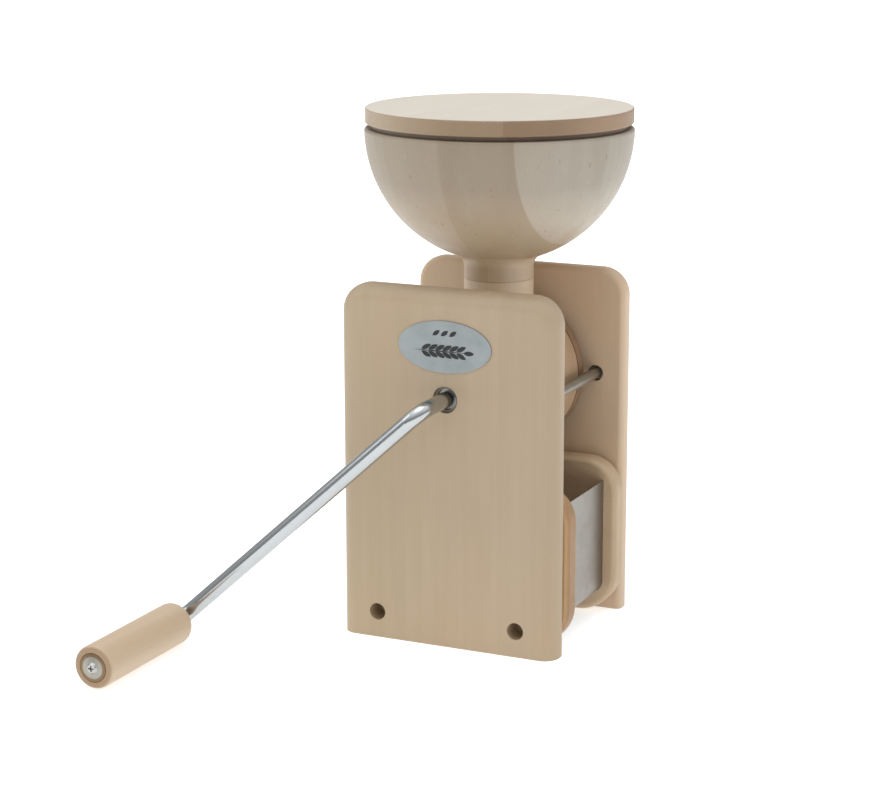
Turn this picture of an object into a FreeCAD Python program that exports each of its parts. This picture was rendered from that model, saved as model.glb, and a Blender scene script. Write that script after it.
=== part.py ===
import FreeCAD, Part
import Sketcher
import math
import os
import re

# Hand-cranked grain mill: two upright boards with a round wooden housing between them, a bowl
# hopper on top, a bent crank at the front, a flour drawer below and an adjusting knob behind.
# Millimetres, +Z up, the crank is on the -Y side. The origin is the middle of the front board's
# underside. A "station" is a distance back from the front board's outer face, along the axle.

DIMENSIONS = {
    # boards
    "panel_width": 174.0, "panel_height": 270.0, "panel_thickness": 20.5, "mill_depth": 158.0,
    "panel_corner_radius": 21.5, "panel_outer_round": 11.5, "panel_inner_round": 4.5,
    "clamp_hole_diameter": 13.0, "clamp_hole_depth": 17.0, "clamp_hole_x": 56.5, "clamp_hole_z": 20.0,
    "label_width": 74.2, "label_height": 38.6, "label_z": 229.0, "label_thickness": 0.8,
    # axle line
    "axle_height": 189.5, "axle_hole_radius": 10.0, "journal_radius": 8.0, "axle_radius": 6.0,
    "running_clearance": 0.04, "seat_clearance": 0.05, "loose_clearance": 0.2, "pin_fit": 0.02,
    "overrun": 1.0, "hair": 0.01, "head_start": 5.0, "bush_start": 2.5,
    "socket_end": 26.0, "drive_flange_start": 34.5, "drive_flange_end": 37.0,
    "rear_journal_start": 114.0, "rear_journal_radius": 5.0, "axle_end": 177.5,
    "thread_radius": 4.0, "bearing_radius": 12.0, "bearing_flange_radius": 16.0,
    "bearing_flange": 1.5, "drive_flange_radius": 15.0, "shaft_pass_clearance": 0.6,
    # housing
    "housing_radius": 57.5, "chamber_radius": 48.0, "chamber_start": 30.0, "chamber_end": 76.0,
    "feed_bore_radius": 18.0, "feed_bore_end": 112.0, "seam_station": 118.5, "housing_end": 129.0,
    "throat_radius": 16.0, "hopper_station": 97.3, "socket_floor_z": 239.5,
    "outlet_half_width": 22.0, "outlet_start": 33.0, "outlet_stop": 63.0, "spacer_radius": 35.0,
    "wood_screw_radius": 2.0, "wood_screw_head_radius": 3.5, "wood_screw_circle": 38.0,
    "wood_screw_tip": 11.0, "wood_screw_head": 2.2, "cover_screw_circle": 46.0,
    "cover_screw_depth": 12.0, "plate_eye_radius": 17.0, "socket_top_gap": 0.2, "seam_round": 0.9,
    # stones
    "stone_radius": 40.0, "carrier_end": 40.0, "carrier_radius": 39.0, "hub_radius": 12.0,
    "hub_end": 50.0, "runner_end": 57.0, "grinding_gap": 0.5, "fixed_stone_end": 73.0,
    "eye_radius": 16.0, "eye_mouth_radius": 20.0, "eye_mouth_depth": 6.0, "hub_clearance": 0.3,
    "pin_radius": 2.0, "pin_station": 45.0,
    "pin_half_length": 11.5, "plate_screw_circle": 44.0, "plate_screw_head_radius": 3.2,
    "plate_screw_tip": 88.0, "auger_start": 61.0, "auger_end": 109.0, "auger_core_radius": 7.6,
    "auger_radius": 13.5, "auger_pitch": 16.0, "auger_flight": 2.6, "flight_start": 1.0,
    "flight_taper": 0.6, "flight_end_room": 3.0,
    # adjuster
    "sleeve_radius": 9.0, "sleeve_start": 119.2, "sleeve_end": 168.0,
    "sleeve_recess_start": 117.0, "sleeve_bore_radius": 7.0,
    "rear_bush_end": 145.0, "sleeve_flange_radius": 13.0, "sleeve_flange_start": 122.5,
    "sleeve_flange_end": 125.0, "cover_wall_end": 121.0, "spring_pocket_radius": 14.0,
    "key_circle": 11.0, "key_radius": 1.5, "key_start": 114.0, "key_end": 125.2,
    "spring_radius": 11.4, "spring_wire_radius": 0.8, "spring_pitch": 3.4, "spring_start": 126.5,
    "spring_end_gap": 0.1, "journal_relief": 0.5,
    "washer_radius": 17.0, "washer_thickness": 1.5, "washer_clearance": 0.3, "insert_radius": 13.0,
    "insert_end": 171.0, "insert_flange_radius": 16.0,
    "knob_radius": 30.0, "knob_start": 160.3, "knob_end": 180.0, "knob_recess_radius": 11.5,
    "knob_flute_radius": 9.0, "knob_flute_circle": 36.5, "knob_round": 2.5, "cap_start": 178.4,
    "cap_crown": 1.4, "cap_taper": 3.0,
    "thrust_start": 168.2, "thrust_thickness": 1.5, "thrust_radius": 8.5, "nut_radius": 7.5,
    "nut_height": 6.5,
    # tie rods
    "tie_rod_x": 64.0, "tie_rod_z": 188.0, "tie_rod_radius": 4.0, "tie_rod_end": 152.0,
    "tie_rod_gap": 0.5, "tie_hole_radius": 6.2, "insert_nut_radius": 6.0, "insert_nut_depth": 13.0,
    "insert_hole_spare": 2.0,
    "sleeve_nut_start": 142.0, "sleeve_nut_radius": 5.9, "sleeve_nut_head_radius": 10.0,
    "sleeve_nut_head": 2.2,
    # hopper and lid
    "bowl_radius": 101.2, "bowl_centre_z": 379.0, "bowl_wall": 8.0, "neck_radius": 26.4,
    "neck_flare": 10.0, "neck_joint_z": 284.0, "neck_bottom_z": 265.2, "neck_stock_top_z": 318.3,
    "spigot_radius": 21.9, "spigot_bottom_z": 241.0,
    "socket_bore_radius": 22.1, "rim_round": 2.0, "lid_radius": 100.5, "lid_bottom_z": 382.5,
    "lid_thickness": 11.8, "lid_edge_round": 1.2, "lid_step_radius": 96.0, "lid_plug_radius": 91.5,
    "lid_plug_depth": 5.0, "lid_play": 0.15,
    # crank
    "crank_rod_radius": 6.0, "crank_stub": 41.3, "crank_arm_length": 255.6, "crank_lean": 25.8,
    "crank_bend": 14.0, "crank_rest_angle": 42.65, "grip_radius": 16.0, "grip_inner": 75.0,
    "grip_outer": 188.0, "grip_end_round": 6.0, "grip_face_round": 3.0,
    "grip_bore_radius": 6.15, "grip_mouth_radius": 8.8,
    "grip_mouth_depth": 7.0, "grip_seat_radius": 11.0, "rod_tip": 187.2, "grip_play": 0.4,
    "grip_washer_radius": 10.6, "grip_washer_rim": 0.8, "grip_screw_radius": 2.5,
    "grip_screw_length": 16.0, "grip_screw_head_radius": 4.2, "grip_screw_head": 1.3,
    "screw_head_taper": 0.75, "screw_head_sink": 0.2, "washer_crown_radius": 4.8,
    "slot_reach": 1.1, "slot_width": 0.3, "slot_rise": 0.3, "slot_depth": 1.9, "rod_end_gap": 1.0,
    # drawer
    "drawer_half_width": 89.5, "drawer_height": 124.5, "drawer_end_thickness": 18.0,
    "drawer_side_gap": 1.0, "drawer_floor_gap": 2.0, "drawer_top_radius": 27.0,
    "drawer_foot_radius": 32.0, "drawer_edge_round": 4.0, "tray_half_width": 79.0,
    "tray_bottom_z": 18.0, "tray_top_z": 108.5, "tray_sheet": 0.8, "tray_bend_outer": 10.0,
    "tray_bend_inner": 9.2,
    "groove_depth": 5.0, "groove_play": 0.15,
}

HOUSING_SCREWS = 4
PLATE_SCREWS = 3
KNOB_FLUTES = 8
CLEAR = 20.0                       # how far a wide cutting tool runs past the face it leaves
HOUSING_SCREWS_AT = 45             # degrees from +X to the first of the housing's screws
PLATE_SCREWS_AT = 90               # the same for the fixed stone's plate
NEAR = 1.0                         # an edge within this of a face's height belongs to it
LEAST_CUT = 1.0                    # a pocket that takes less than this volume has missed
APART = 10.0                       # between a sketch's circles, before their constraints place them
DRAWN_RADIUS = 1.0                 # the same circles' radius, before it is constrained
SAME = 0.01                        # lengths closer than this are equal

os.makedirs("parts", exist_ok=True)
doc = FreeCAD.newDocument("grain_mill")
sheet = doc.addObject("Spreadsheet::Sheet", "Dims")
for row, (alias, value) in enumerate(DIMENSIONS.items(), 1):
    sheet.set(f"A{row}", alias)
    sheet.set(f"B{row}", str(value))
    sheet.setAlias(f"B{row}", alias)
doc.recompute()

SUB_PARTS = []


def size(alias):
    """A driving dimension, read from the sheet."""
    return float(sheet.get(alias))


def bound(text):
    """An expression in the sheet's aliases, as FreeCAD writes it."""
    return re.sub(r"[a-z][a-z_]+", lambda word: "Dims." + word.group() if word.group() in DIMENSIONS
                  else word.group(), text)


def station(text):
    """A distance back from the front face, as a Y coordinate."""
    return f"({text}) - panel_thickness / 2"


# ---- turned pieces, from bars and cones ----------------------------------------------------------

TURN = {
    "X": FreeCAD.Rotation(FreeCAD.Vector(0, 1, 0), 90),
    "Y": FreeCAD.Rotation(FreeCAD.Vector(1, 0, 0), -90),
    "Z": FreeCAD.Rotation(),
}


def bar(along, start, end, radius, end_radius=None, x="0", y="hopper_station", z="axle_height"):
    """A cylinder, or a cone, between two positions along an axis. Y positions are stations."""
    item = doc.addObject("Part::Cone" if end_radius else "Part::Cylinder", "Bar")
    if end_radius:
        item.setExpression("Radius1", bound(radius))
        item.setExpression("Radius2", bound(end_radius))
    else:
        item.setExpression("Radius", bound(radius))
    item.setExpression("Height", bound(f"({end}) - ({start})"))
    item.Placement = FreeCAD.Placement(FreeCAD.Vector(), TURN[along])
    place = {"X": x, "Y": y, "Z": z}
    place[along] = start
    item.setExpression("Placement.Base.x", bound(place["X"]))
    item.setExpression("Placement.Base.y", bound(station(place["Y"])))
    item.setExpression("Placement.Base.z", bound(place["Z"]))
    return item


def axle_bar(start, end, radius, end_radius=None):
    """A bar on the crank axle's line."""
    return bar("Y", start, end, radius, end_radius)


def upright_bar(start, end, radius, end_radius=None):
    """A bar on the hopper's upright axis."""
    return bar("Z", start, end, radius, end_radius)


def joined(items):
    """One object that holds all the given ones."""
    if len(items) == 1:
        return items[0]
    whole = doc.addObject("Part::MultiFuse", "Joined")
    whole.Shapes = items
    whole.Refine = True
    return whole


def cut(items, tools):
    """The given solids, less the tools."""
    result = doc.addObject("Part::Cut", "Cut")
    result.Base = joined(items)
    result.Tool = joined(tools)
    result.Refine = True
    return result


def keep(item, label):
    """Names a finished piece, which is then written as one node."""
    item.Label = label
    SUB_PARTS.append(item)
    return item


def rounded(item, alias, chosen):
    """Fillets the edges of an object that the test picks."""
    doc.recompute()
    radius = size(alias)
    result = doc.addObject("Part::Fillet", "Rounded")
    result.Base = item
    numbers = [number for number, edge in enumerate(item.Shape.Edges, 1) if chosen(edge)]
    if not numbers:
        raise RuntimeError(f"no edge to round with {alias}")
    result.Edges = [(number, radius, radius) for number in numbers]
    return result


def circle_at(axis, position, radius):
    """A test for circular edges of one radius, at one place along an axis."""
    def chosen(edge):
        curve = edge.Curve
        if not isinstance(curve, Part.Circle):
            return False
        place = getattr(curve.Center, axis)
        return abs(place - position) < SAME and abs(curve.Radius - radius) < SAME
    return chosen


def ring_of(count, start_angle, make):
    """Copies of one fastener, spread evenly about the axle from a starting angle."""
    items = []
    for number in range(count):
        angle = math.radians(start_angle + 360.0 * number / count)
        items.append(make(f"{math.cos(angle):.6f}", f"{math.sin(angle):.6f}"))
    return items


def screw_bars(circle, start, end, radius):
    """A maker for ring_of: one bar parallel to the axle, on a circle about it."""
    def make(across, up):
        return bar("Y", start, end, radius, x=f"{circle} * ({across})",
                   z=f"axle_height + {circle} * ({up})")
    return make


# ---- boards and other prismatic pieces, from sketches --------------------------------------------

def new_body(label, y="0", z="0", turn=0.0):
    """An empty body, turned about Z and placed at a station and a height."""
    body = doc.addObject("PartDesign::Body", label)
    body.Placement = FreeCAD.Placement(
        FreeCAD.Vector(), FreeCAD.Rotation(FreeCAD.Vector(0, 0, 1), turn))
    body.setExpression("Placement.Base.y", bound(station(y)))
    body.setExpression("Placement.Base.z", bound(z))
    return body


def new_sketch(body, name, plane, offset=None):
    """A sketch on one of its own body's origin planes, or offset from it along its normal."""
    sketch = body.newObject("Sketcher::SketchObject", name)
    support = next(item for item in body.Origin.OriginFeatures if item.Role == plane)
    sketch.AttachmentSupport = [(support, "")]
    sketch.MapMode = "FlatFace"
    if offset:
        sketch.setExpression(".AttachmentOffset.Base.z", bound(offset))
    return sketch


def pin_point(sketch, geometry, point, x, y):
    """Ties a point to two expressions, measured from the sketch's origin."""
    now = sketch.getPoint(geometry, point)
    for kind, text, value in (("DistanceX", x, now.x), ("DistanceY", y, now.y)):
        index = sketch.addConstraint(Sketcher.Constraint(kind, -1, 1, geometry, point, value))
        sketch.setExpression(f"Constraints[{index}]", bound(text))


def polygon(body, name, plane, corners, offset=None):
    """A closed outline of straight edges, with every corner tied to the sheet."""
    sketch = new_sketch(body, name, plane, offset)
    count = len(corners)
    for number in range(count):
        here = 2 * math.pi * number / count
        there = 2 * math.pi * (number + 1) / count
        sketch.addGeometry(Part.LineSegment(
            FreeCAD.Vector(math.cos(here), math.sin(here), 0),
            FreeCAD.Vector(math.cos(there), math.sin(there), 0)))
    for number in range(count):
        sketch.addConstraint(Sketcher.Constraint("Coincident", number, 2, (number + 1) % count, 1))
    for number, (x, y) in enumerate(corners):
        pin_point(sketch, number, 1, x, y)
    return sketch


def circles(body, name, plane, holes, offset=None):
    """Circles with their centres and radii tied to the sheet."""
    sketch = new_sketch(body, name, plane, offset)
    for number, (x, y, radius) in enumerate(holes):
        sketch.addGeometry(Part.Circle(FreeCAD.Vector(APART * number, 0, 0), FreeCAD.Vector(0, 0, 1),
                                       DRAWN_RADIUS))
        pin_point(sketch, number, 3, x, y)
        index = sketch.addConstraint(Sketcher.Constraint("Radius", number, DRAWN_RADIUS))
        sketch.setExpression(f"Constraints[{index}]", bound(radius))
    return sketch


def pad(body, sketch, length, backwards=True):
    """Pads an outline; on the XZ plane, backwards is towards +Y."""
    feature = body.newObject("PartDesign::Pad", "Pad")
    feature.Profile = sketch
    feature.setExpression("Length", bound(length))
    feature.Reversed = backwards
    doc.recompute()
    return feature


def pocket(body, sketch, length=None, flip=False):
    """Cuts an outline to a depth, or right through, and checks that it took something away."""
    before = body.Shape.Volume
    feature = body.newObject("PartDesign::Pocket", "Pocket")
    feature.Profile = sketch
    feature.Reversed = flip
    if length:
        feature.setExpression("Length", bound(length))
    else:
        feature.Type = "ThroughAll"
    doc.recompute()
    if body.Shape.Volume > before - LEAST_CUT:
        raise RuntimeError(f"{sketch.Name} of {body.Label} cuts nothing")
    return feature


def fillet(body, alias, chosen):
    """Rounds the edges of a body's tip that the test picks."""
    solid = body.Tip
    names = [f"Edge{number}" for number, edge in enumerate(solid.Shape.Edges, 1) if chosen(edge)]
    if not names:
        raise RuntimeError(f"no edge to round with {alias} on {body.Label}")
    feature = body.newObject("PartDesign::Fillet", "Fillet")
    feature.Base = (solid, names)
    feature.setExpression("Radius", bound(alias))
    doc.recompute()
    return feature


def runs_along_y(edge):
    box = edge.BoundBox
    return box.YLength > NEAR and box.XLength < SAME and box.ZLength < SAME


def lies_at_y(edge, y):
    box = edge.BoundBox
    return box.YLength < SAME and abs(box.YMin - y) < SAME


# ---- the frame -----------------------------------------------------------------------------------

def board(label, rear, holes, blind_holes=()):
    """One upright board: rounded top corners, a wide rounding outside and a small one inside."""
    body = new_body(label, y="mill_depth" if rear else "0", turn=180.0 if rear else 0.0)
    outline = polygon(body, "Outline", "XZ_Plane", [
        ("-panel_width / 2", "0"), ("panel_width / 2", "0"),
        ("panel_width / 2", "panel_height"), ("-panel_width / 2", "panel_height")])
    pad(body, outline, "panel_thickness")
    top = size("panel_height")
    thickness = size("panel_thickness")
    fillet(body, "panel_corner_radius", lambda edge: runs_along_y(edge)
           and edge.BoundBox.ZMin > top - NEAR)
    for alias, face in (("panel_outer_round", 0.0), ("panel_inner_round", thickness)):
        fillet(body, alias, lambda edge: lies_at_y(edge, face) and edge.BoundBox.ZMax > NEAR)
    pocket(body, circles(body, "Holes", "XZ_Plane", holes))
    if blind_holes:
        pocket(body, circles(body, "ClampHoles", "XZ_Plane", blind_holes), "clamp_hole_depth")
    return keep(body, label)


def front_board():
    body = board("front_panel", False, [("0", "axle_height", "axle_hole_radius")], [
        ("-clamp_hole_x", "clamp_hole_z", "clamp_hole_diameter / 2"),
        ("clamp_hole_x", "clamp_hole_z", "clamp_hole_diameter / 2")])
    inserts = [(f"{side} * tie_rod_x", "tie_rod_z", "insert_nut_radius + seat_clearance") for side in (-1, 1)]
    pocket(body, circles(body, "InsertHoles", "XZ_Plane", inserts, "-panel_thickness"),
           "insert_nut_depth + insert_hole_spare", flip=True)
    screws = []
    for number in range(HOUSING_SCREWS):
        angle = math.radians(HOUSING_SCREWS_AT + 360.0 * number / HOUSING_SCREWS)
        screws.append((f"wood_screw_circle * ({math.cos(angle):.6f})",
                       f"axle_height + wood_screw_circle * ({math.sin(angle):.6f})",
                       "wood_screw_radius + seat_clearance / 2"))
    pocket(body, circles(body, "ScrewHoles", "XZ_Plane", screws, "-panel_thickness"),
           "panel_thickness - wood_screw_tip + overrun", flip=True)


def back_board():
    board("back_panel", True, [
        ("0", "axle_height", "sleeve_radius + loose_clearance"),
        ("-tie_rod_x", "tie_rod_z", "tie_hole_radius"), ("tie_rod_x", "tie_rod_z", "tie_hole_radius")])


def label_plate():
    """A thin oval plate with a plain face, stuck above the axle hole."""
    oval = doc.addObject("Part::Ellipse", "Oval")
    oval.setExpression("MajorRadius", bound("label_width / 2"))
    oval.setExpression("MinorRadius", bound("label_height / 2"))
    oval.Placement = FreeCAD.Placement(FreeCAD.Vector(), FreeCAD.Rotation(FreeCAD.Vector(1, 0, 0), 90))
    oval.setExpression("Placement.Base.y", bound(station("0")))
    oval.setExpression("Placement.Base.z", bound("label_z"))
    plate = doc.addObject("Part::Extrusion", "Plate")
    plate.Base = oval
    plate.DirMode = "Custom"
    plate.Dir = FreeCAD.Vector(0, -1, 0)
    plate.setExpression("LengthFwd", bound("label_thickness"))
    plate.Solid = True
    keep(plate, "label_plate")


def tie_rods():
    """Two long rods that pull the boards together, from inserts in front to sleeve nuts behind."""
    rods, inserts, nuts = [], [], []
    for side in (-1, 1):
        place = {"x": f"{side} * tie_rod_x", "z": "tie_rod_z"}
        insert_start = "panel_thickness - insert_nut_depth"
        rods.append(bar("Y", f"{insert_start} + tie_rod_gap", "tie_rod_end", "tie_rod_radius", **place))
        inserts.append(cut(
            [bar("Y", insert_start, "panel_thickness", "insert_nut_radius", **place)],
            [bar("Y", f"{insert_start} - overrun", "panel_thickness + overrun",
                 "tie_rod_radius + seat_clearance", **place)]))
        nuts.append(cut(
            [bar("Y", "sleeve_nut_start", "mill_depth", "sleeve_nut_radius", **place),
             bar("Y", "mill_depth", "mill_depth + sleeve_nut_head", "sleeve_nut_head_radius", **place)],
            [bar("Y", "sleeve_nut_start - overrun", "tie_rod_end + overrun",
                 "tie_rod_radius + seat_clearance", **place)]))
    group(rods, "tie_rods")
    group(inserts, "threaded_inserts")
    group(nuts, "sleeve_nuts")


def group(items, label):
    """Separate identical fasteners, kept as one node."""
    compound = doc.addObject("Part::Compound", label)
    compound.Links = items
    return keep(compound, label)


# ---- the housing ---------------------------------------------------------------------------------

def feed_socket_seat():
    """The round seat that the feed socket stands in."""
    return upright_bar("socket_floor_z", f"socket_floor_z + {CLEAR}", "neck_radius + seat_clearance * 2")


def housing_body():
    outlet = doc.addObject("Part::Box", "Outlet")
    outlet.setExpression("Length", bound("outlet_half_width * 2"))
    outlet.setExpression("Width", bound("outlet_stop - outlet_start"))
    outlet.setExpression("Height", bound("housing_radius"))
    outlet.setExpression("Placement.Base.x", bound("-outlet_half_width"))
    outlet.setExpression("Placement.Base.y", bound(station("outlet_start")))
    outlet.setExpression("Placement.Base.z", bound("axle_height - housing_radius - overrun"))
    bores = [
        axle_bar("panel_thickness - overrun", "chamber_start + overrun", "bearing_radius + seat_clearance"),
        axle_bar("chamber_start", "chamber_end", "chamber_radius"),
        axle_bar("chamber_end - overrun", "feed_bore_end", "feed_bore_radius"),
        axle_bar("feed_bore_end - overrun", "seam_station + overrun", "axle_radius + shaft_pass_clearance"),
        axle_bar("sleeve_recess_start", "seam_station + overrun", "sleeve_radius + seat_clearance"),
        bar("Y", "key_start", "seam_station + overrun", "key_radius + seat_clearance / 2",
            z="axle_height + key_circle"),
        upright_bar("axle_height", f"socket_floor_z + {CLEAR}", "throat_radius"),
        feed_socket_seat(), outlet]
    pilot = "wood_screw_radius + seat_clearance / 2"
    bores += ring_of(HOUSING_SCREWS, HOUSING_SCREWS_AT, screw_bars(
        "wood_screw_circle", "panel_thickness - overrun", "chamber_start + overrun", pilot))
    bores += ring_of(PLATE_SCREWS, PLATE_SCREWS_AT, screw_bars(
        "plate_screw_circle", "chamber_end - overrun", "plate_screw_tip + overrun", pilot))
    bores += ring_of(HOUSING_SCREWS, HOUSING_SCREWS_AT, screw_bars(
        "cover_screw_circle", "seam_station - cover_screw_depth", "seam_station + overrun", pilot))
    disc = axle_bar("panel_thickness", "seam_station", "housing_radius")
    seam = size("seam_station") - size("panel_thickness") / 2
    softened = rounded(disc, "seam_round", circle_at("y", seam, size("housing_radius")))
    keep(cut([softened], bores), "housing_body")


def housing_rear_cover():
    bores = [
        axle_bar("seam_station - overrun", "cover_wall_end + overrun", "sleeve_radius + seat_clearance"),
        axle_bar("cover_wall_end", "housing_end + overrun", "spring_pocket_radius"),
        bar("Y", "seam_station - overrun", "cover_wall_end + overrun", "key_radius + seat_clearance / 2",
            z="axle_height + key_circle"),
        feed_socket_seat()]
    for start, radius in (("seam_station - overrun", "wood_screw_radius + seat_clearance / 2"),
                          ("housing_end - wood_screw_head", "wood_screw_head_radius + loose_clearance")):
        bores += ring_of(HOUSING_SCREWS, HOUSING_SCREWS_AT, screw_bars(
            "cover_screw_circle", start, "housing_end + overrun", radius))
    softened = rounded(axle_bar("seam_station", "housing_end", "housing_radius"), "seam_round",
                       lambda edge: isinstance(edge.Curve, Part.Circle))
    keep(cut([softened], bores), "housing_rear_cover")


def headed_screws(label, count, start_angle, circle, shank, head, head_radius):
    """Screws parallel to the axle: a shank and a flat round head, each from station to station."""
    shanks = ring_of(count, start_angle, screw_bars(circle, *shank, "wood_screw_radius"))
    heads = ring_of(count, start_angle, screw_bars(circle, *head, head_radius))
    group([joined([low, top]) for low, top in zip(shanks, heads)], label)


def housing_fasteners():
    headed_screws("housing_screws", HOUSING_SCREWS, HOUSING_SCREWS_AT, "wood_screw_circle",
                  ("wood_screw_tip", "chamber_start"),
                  ("chamber_start", "chamber_start + wood_screw_head"), "wood_screw_head_radius")
    headed_screws("stator_screws", PLATE_SCREWS, PLATE_SCREWS_AT, "plate_screw_circle",
                  ("fixed_stone_end", "plate_screw_tip"),
                  ("fixed_stone_end - wood_screw_head", "fixed_stone_end"), "plate_screw_head_radius")
    headed_screws("cover_screws", HOUSING_SCREWS, HOUSING_SCREWS_AT, "cover_screw_circle",
                  ("feed_bore_end", "housing_end - wood_screw_head"),
                  ("housing_end - wood_screw_head", "housing_end"), "wood_screw_head_radius")


def feed_socket():
    """The wooden ring on top of the housing that the hopper plugs into."""
    ring = cut([upright_bar("socket_floor_z", "neck_bottom_z - socket_top_gap", "neck_radius")],
               [upright_bar("socket_floor_z - overrun", "neck_bottom_z + overrun", "socket_bore_radius")])
    keep(ring, "feed_socket")


def simple_rings():
    """Bushes, plates and spacers: a disc with one bore."""
    rings = {
        "panel_bush": ("bush_start", "panel_thickness", "axle_hole_radius - seat_clearance",
                       "journal_radius + running_clearance"),
        "stator_plate": ("fixed_stone_end", "chamber_end", "chamber_radius - seat_clearance",
                         "plate_eye_radius"),
        "rear_spacer": ("housing_end", "mill_depth - panel_thickness", "spacer_radius",
                        "spring_pocket_radius"),
        "rear_bush": ("sleeve_start", "rear_bush_end", "sleeve_bore_radius - seat_clearance",
                      "rear_journal_radius + running_clearance"),
        "knob_washer": ("mill_depth", "mill_depth + washer_thickness", "washer_radius",
                        "sleeve_radius + washer_clearance"),
        "thrust_washer": ("thrust_start", "thrust_start + thrust_thickness", "thrust_radius",
                          "thread_radius + seat_clearance"),
    }
    for label, (start, end, outer, inner) in rings.items():
        tools = [axle_bar(f"({start}) - overrun", f"({end}) + overrun", inner)]
        if label == "stator_plate":
            tools += ring_of(PLATE_SCREWS, PLATE_SCREWS_AT, screw_bars(
                "plate_screw_circle", f"{start} - overrun", f"{end} + overrun",
                "wood_screw_radius + loose_clearance"))
        keep(cut([axle_bar(start, end, outer)], tools), label)


def front_bearing():
    bearing = cut([axle_bar("panel_thickness", "chamber_start", "bearing_radius"),
                   axle_bar("chamber_start", "chamber_start + bearing_flange", "bearing_flange_radius")],
                  [axle_bar("panel_thickness - overrun", "chamber_start + bearing_flange + overrun",
                            "journal_radius + running_clearance")])
    keep(bearing, "front_bearing")


# ---- the grinding gear ---------------------------------------------------------------------------

def cross_pin_hole():
    """The hole across the hub and the axle, for the carrier's pin."""
    return bar("X", f"-{CLEAR}", f"{CLEAR}", "pin_radius + pin_fit", y="pin_station")


def drive_shaft():
    steps = [
        axle_bar("head_start", "drive_flange_start", "journal_radius"),
        axle_bar("drive_flange_start", "drive_flange_end", "drive_flange_radius"),
        axle_bar("drive_flange_end", "rear_journal_start", "axle_radius"),
        axle_bar("rear_journal_start", "thrust_start", "rear_journal_radius"),
        axle_bar("thrust_start", "axle_end", "thread_radius")]
    bores = [axle_bar("head_start - overrun", "socket_end", "crank_rod_radius + seat_clearance"),
             cross_pin_hole()]
    keep(cut(steps, bores), "drive_shaft")


def stone_carrier():
    carrier = cut([axle_bar("drive_flange_end", "carrier_end", "carrier_radius"),
                   axle_bar("carrier_end", "hub_end", "hub_radius")],
                  [axle_bar("drive_flange_end - overrun", "hub_end + overrun",
                            "axle_radius + seat_clearance"),
                   cross_pin_hole()])
    keep(carrier, "stone_carrier")
    keep(bar("X", "-pin_half_length", "pin_half_length", "pin_radius", y="pin_station"), "carrier_pin")


def stones():
    """Two ceramic-bonded stones; each opens towards the other so that grain can enter."""
    runner = cut([axle_bar("carrier_end", "runner_end", "stone_radius")],
                 [axle_bar("carrier_end - overrun", "runner_end + overrun", "hub_radius + hub_clearance"),
                  axle_bar("hub_end", "runner_end + hair", "hub_radius + hub_clearance",
                           "eye_mouth_radius")])
    keep(runner, "runner_stone")
    face = "runner_end + grinding_gap"
    fixed = cut([axle_bar(face, "fixed_stone_end", "stone_radius")],
                [axle_bar(f"{face} - overrun", "fixed_stone_end + overrun", "eye_radius"),
                 axle_bar(f"{face} - hair", f"{face} + eye_mouth_depth", "eye_mouth_radius", "eye_radius")])
    keep(fixed, "fixed_stone")


def helix_solid(body, profile, pitch, height):
    """Winds a profile about its sketch's upright axis."""
    feature = body.newObject("PartDesign::AdditiveHelix", "Helix")
    feature.Profile = profile
    feature.ReferenceAxis = (profile, ["V_Axis"])
    feature.Mode = "pitch-height-angle"
    feature.setExpression("Pitch", bound(pitch))
    feature.setExpression("Height", bound(height))
    doc.recompute()
    return feature


def feed_auger():
    """A short screw on the axle that carries the grain from the throat into the stones' eye."""
    body = new_body("feed_auger", y="auger_start", z="axle_height")
    core = circles(body, "Core", "XZ_Plane", [("0", "0", "auger_core_radius")])
    pad(body, core, "auger_end - auger_start")
    flight = polygon(body, "Flight", "XY_Plane", [
        ("auger_core_radius - flight_taper", "flight_start"),
        ("auger_radius", "flight_start + flight_taper"), ("auger_radius", "auger_flight"),
        ("auger_core_radius - flight_taper", "auger_flight + flight_taper")])
    helix_solid(body, flight, "auger_pitch", "auger_end - auger_start - auger_flight - flight_end_room")
    pocket(body, circles(body, "Bore", "XZ_Plane", [("0", "0", "axle_radius + seat_clearance")]))
    keep(body, "feed_auger")


def pressure_spring():
    """Pushes the bearing sleeve forward, so that the stones part when the knob is slackened."""
    body = new_body("pressure_spring", y="spring_start", z="axle_height")
    wire = circles(body, "Wire", "XY_Plane", [("spring_radius", "spring_wire_radius", "spring_wire_radius")])
    helix_solid(body, wire, "spring_pitch",
                "mill_depth - panel_thickness - spring_start - spring_wire_radius * 2 - spring_end_gap")
    keep(body, "pressure_spring")


# ---- the adjuster --------------------------------------------------------------------------------

def bearing_sleeve():
    sleeve = cut([axle_bar("sleeve_start", "sleeve_end", "sleeve_radius"),
                  axle_bar("sleeve_flange_start", "sleeve_flange_end", "sleeve_flange_radius")],
                 [axle_bar("sleeve_start - overrun", "rear_bush_end", "sleeve_bore_radius"),
                  axle_bar("rear_bush_end - overrun", "sleeve_end + overrun",
                           "rear_journal_radius + journal_relief"),
                  bar("Y", "sleeve_flange_start - overrun", "sleeve_flange_end + overrun",
                      "key_radius + loose_clearance", z="axle_height + key_circle")])
    keep(sleeve, "bearing_sleeve")
    keep(bar("Y", "key_start", "key_end", "key_radius", z="axle_height + key_circle"), "anti_turn_pin")


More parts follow.
